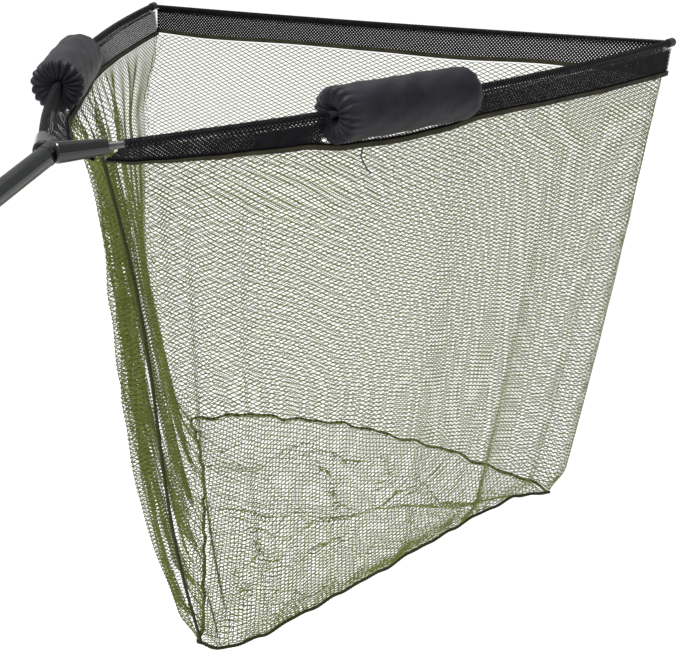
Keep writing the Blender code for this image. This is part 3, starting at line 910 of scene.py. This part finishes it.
# %% The tie
FLOAT_LENGTH = 0.224
FLOAT_START = {NEAR: 0.332, FAR: 0.340}
TIE_ROUTE = (
    # along the arm, outwards, down
    (0.000, 0.012, 0.0405),
    (-0.001, 0.012, 0.0470),
    (-0.002, 0.011, 0.0530),
    (0.002, 0.010, 0.0600),
    (0.006, 0.009, 0.0660),
    (0.010, 0.009, 0.0720),
    (0.015, 0.009, 0.0780),
)
TIE_RADIUS = 0.0009
TIE_FROM_START = 0.041
tie_place = np.array(FLOAT_START[NEAR] + TIE_FROM_START)
along_out_down = np.stack([arm_heading(tie_place, NEAR), -inward(tie_place, NEAR), [0.0, 0.0, -1.0]])
tie_points = arm_point(tie_place, NEAR) + np.array(TIE_ROUTE) @ along_out_down
curve = bpy.data.curves.new("float_tie", "CURVE")
curve.dimensions = "3D"
curve.bevel_depth = TIE_RADIUS
curve.bevel_resolution = 2
curve.use_fill_caps = True
spline = curve.splines.new("POLY")
spline.points.add(len(tie_points) - 1)
for slot, point in zip(spline.points, tie_points):
    slot.co = (*point, 1.0)
curve.materials.append(cord_black)
float_tie = new_object("float_tie", curve)
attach(float_tie, "root")
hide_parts("float_tie_near")

# %% [markdown]
# ## The bag's walls
# Now the three walls are cut, turned to strands and hung. Each is cut in one
# piece and then split in two for its strands.

# %% Walls


def net_wall(word, first, last):
    """One wall's two pieces, from its first place round the bag to its last."""
    chart, lengths = wall_chart(first, last)
    height = line_length(chart[:, chart.shape[1] // 2])
    widths = (float(lengths[0]), float(lengths[-1]))
    cut = flat_cut(*widths, height, NET_HOLE)
    pieces = []
    for part, sign in (("a", -1.0), ("b", 1.0)):
        half = keep_faces(cut, lambda middle: middle.x * sign > 0.0)
        cloth = sum(face.calc_area() for face in half.faces)
        bm = hang(strands(half, STRAND_WIDTH, STRAND_HEIGHT), chart, widths, height)
        piece = finish_piece(f"net_{word}_{part}", bm, olive_netting)
        pieces.append(piece)
    cut.free()
    top, bottom, deep = [round(value, 3) for value in (*widths, height)]
    print(f"the {word} wall is cut {top} m wide at the top, {bottom} at the bottom and {deep} deep")
    return pieces


near_wall = net_wall("near", *NEAR_WALL)
net_wall("front", *FRONT_WALL)
net_wall("far", *FAR_WALL)
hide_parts("side_mesh")

# %% [markdown]
# ## The bottom panel
# The panel is cut to three bowed sides, sags a little and is full of small
# wrinkles. It lies nearly level, so a plan view is chart enough: the flat cut
# keeps its plan and only takes its heights from the shape.

# %% Bottom panel
PANEL_WRINKLES = (
    # direction, spacing, height
    (25.0, 0.130, 0.0040),
    (-40.0, 0.170, 0.0050),
    (80.0, 0.210, 0.0045),
)
PANEL_SAG = 0.022
PANEL_INSET = 0.0085  # how far inside the seam the panel ends
PANEL_CUT = 0.74
CREASES = 46
CREASE_X, CREASE_Y = (0.40, 0.97), (-0.32, 0.32)
CREASE_LENGTH, CREASE_WIDTH, CREASE_HEIGHT = (0.030, 0.075), (0.0030, 0.0048), (0.009, 0.018)
CREASE_SWAY, CREASE_WAVES = 0.012, 45.0
panel_middle = (BAG_CORNERS[0] + BAG_CORNERS[1] + BAG_CORNERS[2]) / 3.0
dice = np.random.default_rng(7)
crease_columns = [
    dice.uniform(*bounds, CREASES)
    for bounds in (CREASE_X, CREASE_Y, (0.0, math.pi), CREASE_LENGTH, CREASE_WIDTH, CREASE_HEIGHT)
]


def crease_rise(x, y):
    """Short sharp creases that cross the panel every way."""
    rise = 0.0 * x
    for middle_x, middle_y, bearing, length, width, height in zip(*crease_columns):
        dx, dy = x - middle_x, y - middle_y
        along = dx * math.cos(bearing) + dy * math.sin(bearing)
        sway = CREASE_SWAY * np.sin(along * CREASE_WAVES)
        across = dy * math.cos(bearing) - dx * math.sin(bearing) + sway
        rise = rise + height * np.exp(-((along / length) ** 2) - (across / width) ** 2)
    return rise


def panel_height(x, y, edge, share):
    fade = 1.0 - share**3
    height = panel_middle[2] + (edge - panel_middle[2]) * share - PANEL_SAG * (1.0 - share * share)
    for direction, spacing, size in PANEL_WRINKLES:
        turn = math.radians(direction)
        run = x * math.cos(turn) + y * math.sin(turn)
        height = height + fade * size * np.sin(2.0 * math.pi * run / spacing)
    return height + fade * crease_rise(x, y)


def panel_rim():
    """The panel's outline as bearings from its middle, reaches and heights."""
    around = bottom_edge(np.linspace(0.0, 3.0, 721)[:-1])
    spokes = around - panel_middle
    bearing = np.arctan2(spokes[:, 1], spokes[:, 0])
    order = np.argsort(bearing)
    reach = np.hypot(spokes[:, 0], spokes[:, 1]) - PANEL_INSET
    return bearing[order], reach[order], around[order, 2]


def on_panel(flat):
    """Places on the panel for points of its flat cut, and their shares of the way out."""
    bearing, reach, height = panel_rim()
    angle = np.arctan2(flat[:, 1], flat[:, 0])
    rim = np.interp(angle, bearing, reach, period=2.0 * math.pi)
    edge = np.interp(angle, bearing, height, period=2.0 * math.pi)
    share = np.hypot(flat[:, 0], flat[:, 1]) / rim
    plan = flat[:, :2] / np.maximum(share, 1.0)[:, None]
    x, y = plan[:, 0] + panel_middle[0], plan[:, 1] + panel_middle[1]
    z = panel_height(x, y, edge, np.minimum(share, 1.0)) + flat[:, 2]
    return np.stack([x, y, z], axis=1), share


panel_cut = flat_cut(PANEL_CUT, PANEL_CUT, PANEL_CUT, NET_HOLE)
_, share = on_panel(places_of(panel_cut))
outside = set(np.flatnonzero(share > 1.0).tolist())
gone = [face for face in panel_cut.faces if all(v.index in outside for v in face.verts)]
bmesh.ops.delete(panel_cut, geom=gone, context="FACES")
panel_cloth = sum(face.calc_area() for face in panel_cut.faces)
panel_strands = strands(panel_cut, STRAND_WIDTH, STRAND_HEIGHT)
move(panel_strands, on_panel(places_of(panel_strands))[0])
net_bottom = finish_piece("net_bottom", panel_strands, olive_netting)
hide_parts("bottom_panel")
print("bottom panel:", round(panel_cloth, 3), "m2 of cloth")

# %% [markdown]
# ## Bands
# Each arm and the front cord carry a folded strip of black mesh, and the bag is
# sewn to its doubled lower edge. The strip's chart is its profile: up one side,
# over the rod and down the other, at every station along the arm.

# %% Bands
BAND_HOLE = (0.0056, 0.0056)
BAND_STRAND = 0.0021
FRONT_STRAND = 0.0023
BAND_HALF_SPACE = 0.0008
BAND_WRAP_RADIUS = ARM_RADIUS + 0.0018
CORD_WRAP_RADIUS = 0.0024 + 0.0013
CAP_CLEARANCE = 0.0105
HEM_HEIGHT = 0.007
HEM_UNDER_FLOAT = {NEAR: 0.075, FAR: 0.09}  # shares of the width left along a float
HEM_AT_CAP = 0.34
FLOAT_MARGIN = 0.002
CAP_MARGIN = 0.004
SIDES = (("near", NEAR), ("far", FAR))


def band_profile(centre, run, hem, radius, half_space=BAND_HALF_SPACE):
    """The strip's outline at one station, from the outer hem over the rod to the inner one."""
    down = unit(hem - centre)
    across = unit(np.cross(run, down))
    outline = [hem + across * half_space * -1, centre + down * CAP_CLEARANCE - across * half_space]
    for degrees in (-110, -80, -50, -25, 0, 25, 50, 80, 110):
        turn = math.radians(degrees)
        outline.append(centre + (across * math.sin(turn) - down * math.cos(turn)) * radius)
    outline += [centre + down * CAP_CLEARANCE + across * half_space, hem + across * half_space]
    return np.array(outline)


def band_chart(centres, runs, hems, radius, columns=41):
    """The strip's points, evenly spaced over its profile, station by station."""
    rows = []
    for centre, run, hem in zip(centres, runs, hems):
        outline = band_profile(centre, run, hem, radius)
        steps = np.linalg.norm(np.diff(outline, axis=0), axis=1)
        share = np.concatenate([[0.0], np.cumsum(steps)]) / steps.sum()
        rows.append(evenly(outline, share, columns))
    return np.array(rows)


def ribbons(bm, width):
    """Replaces the holes of a flat cut by a flat lattice with strands of that width."""
    inner = bmesh.ops.inset_individual(
        bm, faces=bm.faces[:], thickness=width / 2.0, depth=0.0, use_even_offset=True
    )
    rims = set(inner["faces"])
    holes = [face for face in bm.faces if face not in rims]
    bmesh.ops.delete(bm, geom=holes, context="FACES_ONLY")
    return bm


def band_piece(name, stations, chart, strand, is_gone):
    """Mesh cut as one long strip and folded over its chart."""
    length = line_length(chart[:, chart.shape[1] // 2])
    width = float(np.linalg.norm(np.diff(chart, axis=1), axis=2).sum(axis=1).mean())
    cut = flat_cut(width, width, length, BAND_HOLE)

    def keeps(middle):
        at = np.interp(0.5 - middle.y / length, np.linspace(0.0, 1.0, len(stations)), stations)
        return not is_gone(at, 0.5 + middle.x / width)

    kept = keep_faces(cut, keeps)
    cut.free()
    cloth = sum(face.calc_area() for face in kept.faces)
    bm = hang(ribbons(kept, strand), chart, (width, width), length)
    piece = finish_piece(name, bm, black_mesh)
    return piece, (width, length), cloth


def arm_band(word, side):
    stations = np.linspace(BAND_START, BAND_END, 201)
    chart = band_chart(*arm_lines(stations, side), BAND_WRAP_RADIUS)
    float_start = FLOAT_START[side] - FLOAT_MARGIN
    float_end = FLOAT_START[side] + FLOAT_LENGTH + FLOAT_MARGIN

    def is_gone(along, across):
        from_hem = min(across, 1.0 - across)
        if float_start < along < float_end:
            return from_hem > HEM_UNDER_FLOAT[side]
        return along > ARM_LENGTH - CAP_LENGTH - CAP_MARGIN and from_hem > HEM_AT_CAP

    piece, flat, cloth = band_piece(f"mesh_{word}", stations, chart, BAND_STRAND, is_gone)
    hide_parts(f"band_{word}")
    print(piece.name, "cut from", [round(value, 3) for value in flat], "cloth", round(cloth, 3))


for word, side in SIDES:
    arm_band(word, side)

# %% Front band
FRONT_BAND_INSET = 0.0093  # from each end of the cord
front_reach = float(np.linalg.norm(cord_point(np.array(1.0)) - cord_point(np.array(0.0))))
front_end = FRONT_BAND_INSET / front_reach
front_stations = np.linspace(front_end, 1.0 - front_end, 161)
front_runs = np.tile(np.array([0.0, 1.0, 0.0]), (len(front_stations), 1))
front_chart = band_chart(
    cord_point(front_stations), front_runs, front_hem_point(front_stations), CORD_WRAP_RADIUS
)
mesh_front, flat, cloth = band_piece(
    "mesh_front", front_stations, front_chart, FRONT_STRAND, lambda at, across: False
)
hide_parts("band_front")

# %% [markdown]
# ## Tape along the hems
# A narrow tape is folded round each band's lower edge and stitched through band
# and netting. It is a grid bent round the edge: long in one direction, five
# steps in the other, and thickened with Solidify.

# %% Bend a grid


def bent_grid(columns, rows, size, place_grid):
    """A grid whose UVs are metres along and across, moved by place_grid(along, across) in shares."""
    bm = bmesh.new()
    bmesh.ops.create_grid(bm, x_segments=columns, y_segments=rows, size=0.5)
    uv = bm.loops.layers.uv.new("UVMap")
    for face in bm.faces:
        for loop in face.loops:
            loop[uv].uv = ((loop.vert.co.x + 0.5) * size[0], (loop.vert.co.y + 0.5) * size[1])
    flat = places_of(bm)
    move(bm, place_grid(flat[:, 0] + 0.5, flat[:, 1] + 0.5))
    return bm


TAPE_HALF_SPACE = 0.0021
TAPE_BELOW = 0.0012
TAPE_THICKNESS = 0.0006


def hem_tape_piece(name, centres, runs, hems):
    downs = unit(hems - centres)
    across = unit(np.cross(runs, downs))
    steps = len(hems) - 1

    def place(along, over):
        station = np.clip(np.rint(along * steps).astype(int), 0, steps)
        turn = (over - 0.5) * 2.0
        side = np.sign(turn) * np.minimum(np.abs(turn) * 5.0, 1.0) * TAPE_HALF_SPACE
        rise = np.maximum(np.abs(turn) - 0.2, 0.0) / 0.8 * HEM_HEIGHT
        return hems[station] + across[station] * side[:, None] - downs[station] * (rise - TAPE_BELOW)[:, None]

    length = line_length(hems)
    bm = bent_grid(steps, 10, (length, HEM_HEIGHT * 2.4), place)
    piece = finish_piece(name, bm, hem_tape)
    modifier = piece.modifiers.new("Thickness", "SOLIDIFY")
    modifier.thickness = TAPE_THICKNESS
    modifier.offset = 0.0
    print(name, "is", round(length, 3), "m long")


for word, side in SIDES:
    stations = np.linspace(BAND_START, BAND_END, 141)
    hem_tape_piece(f"tape_{word}", *arm_lines(stations, side))
stations = np.linspace(front_end, 1.0 - front_end, 121)
hem_tape_piece(
    "tape_front", cord_point(stations), np.tile([0.0, 1.0, 0.0], (121, 1)), front_hem_point(stations)
)

# %% [markdown]
# ## Seams
# The rear seam and the seam round the bottom are overlocked: a rolled edge about
# as thick as a bootlace, wrapped in thread. Each is a grid rolled into a tube
# along its line, and the wrapping is drawn by the finish from the tube's UVs, as
# relief with painted shade in its grooves.

# %% Seams
SEAM_RADIUS = 0.0022
BINDING_RADIUS = 0.0026
SEAM_STOP = 0.0049 / 0.75  # the rear seam ends this far above the bottom one
WELD = 0.00002


def rolled(name, points, radius, look, closed=False, sides=8):
    """A tube along a line of points, with UVs in metres along and turns around."""
    following = np.roll(points, -1, axis=0) if closed else np.concatenate([points[1:], points[-1:]])
    before = np.roll(points, 1, axis=0) if closed else np.concatenate([points[:1], points[:-1]])
    run = unit(following - before)
    level = unit(np.cross(run, [0.3, 0.2, 1.0] if abs(run[:, 2]).mean() < 0.7 else [1.0, 0.0, 0.2]))
    third = np.cross(run, level)
    count = len(points)
    steps = count if closed else count - 1

    def place(along, around):
        station = np.rint(along * steps).astype(int) % count
        turn = around * 2.0 * math.pi
        swell = radius * (1.0 + 0.10 * np.sin(station * 2.4))
        ring = level[station] * np.cos(turn)[:, None] + third[station] * np.sin(turn)[:, None]
        return points[station] + ring * swell[:, None]

    length = line_length(points)
    bm = bent_grid(steps, sides, (length, 1.0), place)
    bmesh.ops.remove_doubles(bm, verts=bm.verts, dist=WELD)
    bmesh.ops.holes_fill(bm, edges=bm.edges)
    bmesh.ops.recalc_face_normals(bm, faces=bm.faces)
    print(name, "is", round(length, 3), "m long")
    return finish_piece(name, bm, look)


rear_line = seam_point(np.linspace(0.0, 1.0 - SEAM_STOP, 261))
rear_piece = rolled("rear_binding", rear_line, SEAM_RADIUS, binding)
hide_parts("rear_seam")
around = np.linspace(0.0, 3.0, 1081)[:-1]
bottom_line = bottom_edge(around)
bottom_piece = rolled("bottom_binding", bottom_line, BINDING_RADIUS, binding, closed=True)
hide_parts("bottom_seam")

# %% [markdown]
# ## Floats
# A float is a foam tube in a tight nylon cover, threaded on the arm to keep the
# net up in water. Its cover is drawn in round the arm with a cord at the rear
# end, in radial pleats, and sewn to a rounded end at the front.

# %% Floats
FLOAT_RADIUS = 0.0350
FLOAT_BORE = 0.0078
FLOAT_DROP = 0.0015
FLOAT_PLEATS = 20
PLEAT_REACH, PLEAT_DEPTH, PLEAT_DRAW = 0.018, 0.0030, 0.0040  # at the rear end
PUCKER_REACH, PUCKER_DEPTH, PUCKERS = 0.010, 0.0008, 13.0  # at the front end
COVER_INSET = 0.0008


def float_piece(word, side):
    start = arm_point(np.array(FLOAT_START[side]), side)
    end = arm_point(np.array(FLOAT_START[side] + FLOAT_LENGTH), side)
    middle = arm_point(np.array(FLOAT_START[side] + FLOAT_LENGTH / 2.0), side)
    run = unit(end - start)
    centre = ((start + end) / 2.0 + middle) / 2.0 - np.array([0.0, 0.0, FLOAT_DROP])
    level = np.cross(run, [0.0, 0.0, 1.0])
    third = np.cross(level, run)
    half = FLOAT_LENGTH / 2.0
    outline = np.array([
        # along, radius
        (-half + 0.010, FLOAT_BORE),
        (-half + 0.004, FLOAT_BORE + 0.005),
        (-half + 0.001, FLOAT_BORE + 0.012),
        (-half + 0.001, FLOAT_RADIUS - 0.007),
        (-half + 0.003, FLOAT_RADIUS - 0.003),
        (-half + 0.008, FLOAT_RADIUS - 0.0005),
        (0.0, FLOAT_RADIUS),
        (half - 0.010, FLOAT_RADIUS - 0.0005),
        (half - 0.003, FLOAT_RADIUS - 0.003),
        (half - 0.001, FLOAT_RADIUS - 0.008),
        (half - 0.001, FLOAT_BORE + 0.010),
        (half - 0.006, FLOAT_BORE + 0.003),
        (half - 0.010, FLOAT_BORE),
        (0.0, FLOAT_BORE),
    ])
    closed_outline = np.concatenate([outline, outline[:1]])
    steps = np.linalg.norm(np.diff(closed_outline, axis=0), axis=1)
    share = np.concatenate([[0.0], np.cumsum(steps)]) / steps.sum()

    def place(along, around):
        at = np.interp(along, share, closed_outline[:, 0])
        radius = np.interp(along, share, closed_outline[:, 1])
        turn = around * 2.0 * math.pi
        outside = radius > FLOAT_BORE + 0.001
        near_rear = np.exp(-(((at + half) / PLEAT_REACH) ** 2)) * outside
        sharp = np.abs(np.sin(turn * FLOAT_PLEATS / 2.0 + 0.6 * np.sin(turn * 3.0))) - 0.6
        near_front = np.exp(-(((at - half) / PUCKER_REACH) ** 2)) * outside
        slack = 0.0004 * np.sin(turn * 3.0 + at * 60.0) + 0.0003 * np.sin(turn * 7.0 - at * 130.0)
        slack = slack * (radius > FLOAT_RADIUS - 0.004)
        pleats = near_rear * PLEAT_DEPTH * sharp
        puckers = near_front * PUCKER_DEPTH * np.cos(turn * PUCKERS)
        radius = radius + slack - COVER_INSET + pleats + puckers
        at = at - near_rear * PLEAT_DRAW * sharp
        ring = level * np.cos(turn)[:, None] + third * np.sin(turn)[:, None]
        return centre + run * at[:, None] + ring * radius[:, None]

    bm = bent_grid(110, 160, (float(steps.sum()), 0.22), place)
    bmesh.ops.remove_doubles(bm, verts=bm.verts, dist=WELD)
    bmesh.ops.recalc_face_normals(bm, faces=bm.faces)
    piece = finish_piece(f"pad_{word}", bm, charcoal_nylon)
    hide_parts(f"float_{word}")


for word, side in SIDES:
    float_piece(word, side)

# %% [markdown]
# ## Floor and light
# A plain pale floor, far enough below that only a faint shadow reaches it, and
# soft light from all round with a large panel overhead for the sheen.

# %% Floor and light
FLOOR_LEVEL = -1.25
FLOOR_HALF = 30.0
WORLD_STRENGTH = 0.42
SUN_STRENGTH = 2.5
bm = bmesh.new()
bmesh.ops.create_grid(bm, x_segments=1, y_segments=1, size=FLOOR_HALF)
bmesh.ops.translate(bm, verts=bm.verts, vec=(0.0, 0.0, FLOOR_LEVEL))
floor_mesh = bpy.data.meshes.new("floor")
bm.to_mesh(floor_mesh)
bm.free()
pale, shader = finish("pale_floor", (0.93, 0.93, 0.93), 0.9)
floor_mesh.materials.append(pale)
floor = new_object("floor", floor_mesh)

world = bpy.data.worlds.new("soft_light")
bpy.context.scene.world = world
world.use_nodes = True
background = world.node_tree.nodes["Background"]
background.inputs["Color"].default_value = (1.0, 1.0, 1.0, 1.0)
background.inputs["Strength"].default_value = WORLD_STRENGTH
bpy.context.scene.view_settings.view_transform = "Standard"


def panel_light(name, place, power, size):
    data = bpy.data.lights.new(name, "AREA")
    data.energy = power
    data.shape = "RECTANGLE"
    data.size, data.size_y = size
    lamp = new_object(name, data)
    lamp.location = place
    lamp.rotation_mode = "QUATERNION"
    lamp.rotation_quaternion = (target - Vector(place)).to_track_quat("-Z", "Y")


panel_light("overhead", (0.2, 0.8, 3.2), 45.0, (2.2, 2.2))
panel_light("strip", (-1.10, -0.10, 1.60), 26.0, (1.3, 0.34))
sky = new_object("sky", bpy.data.lights.new("sky", "SUN"))
sky.data.energy = SUN_STRENGTH
sky.data.angle = math.radians(30.0)
sky.rotation_euler = (math.radians(-18.0), math.radians(14.0), 0.0)
print("floor at", FLOOR_LEVEL)
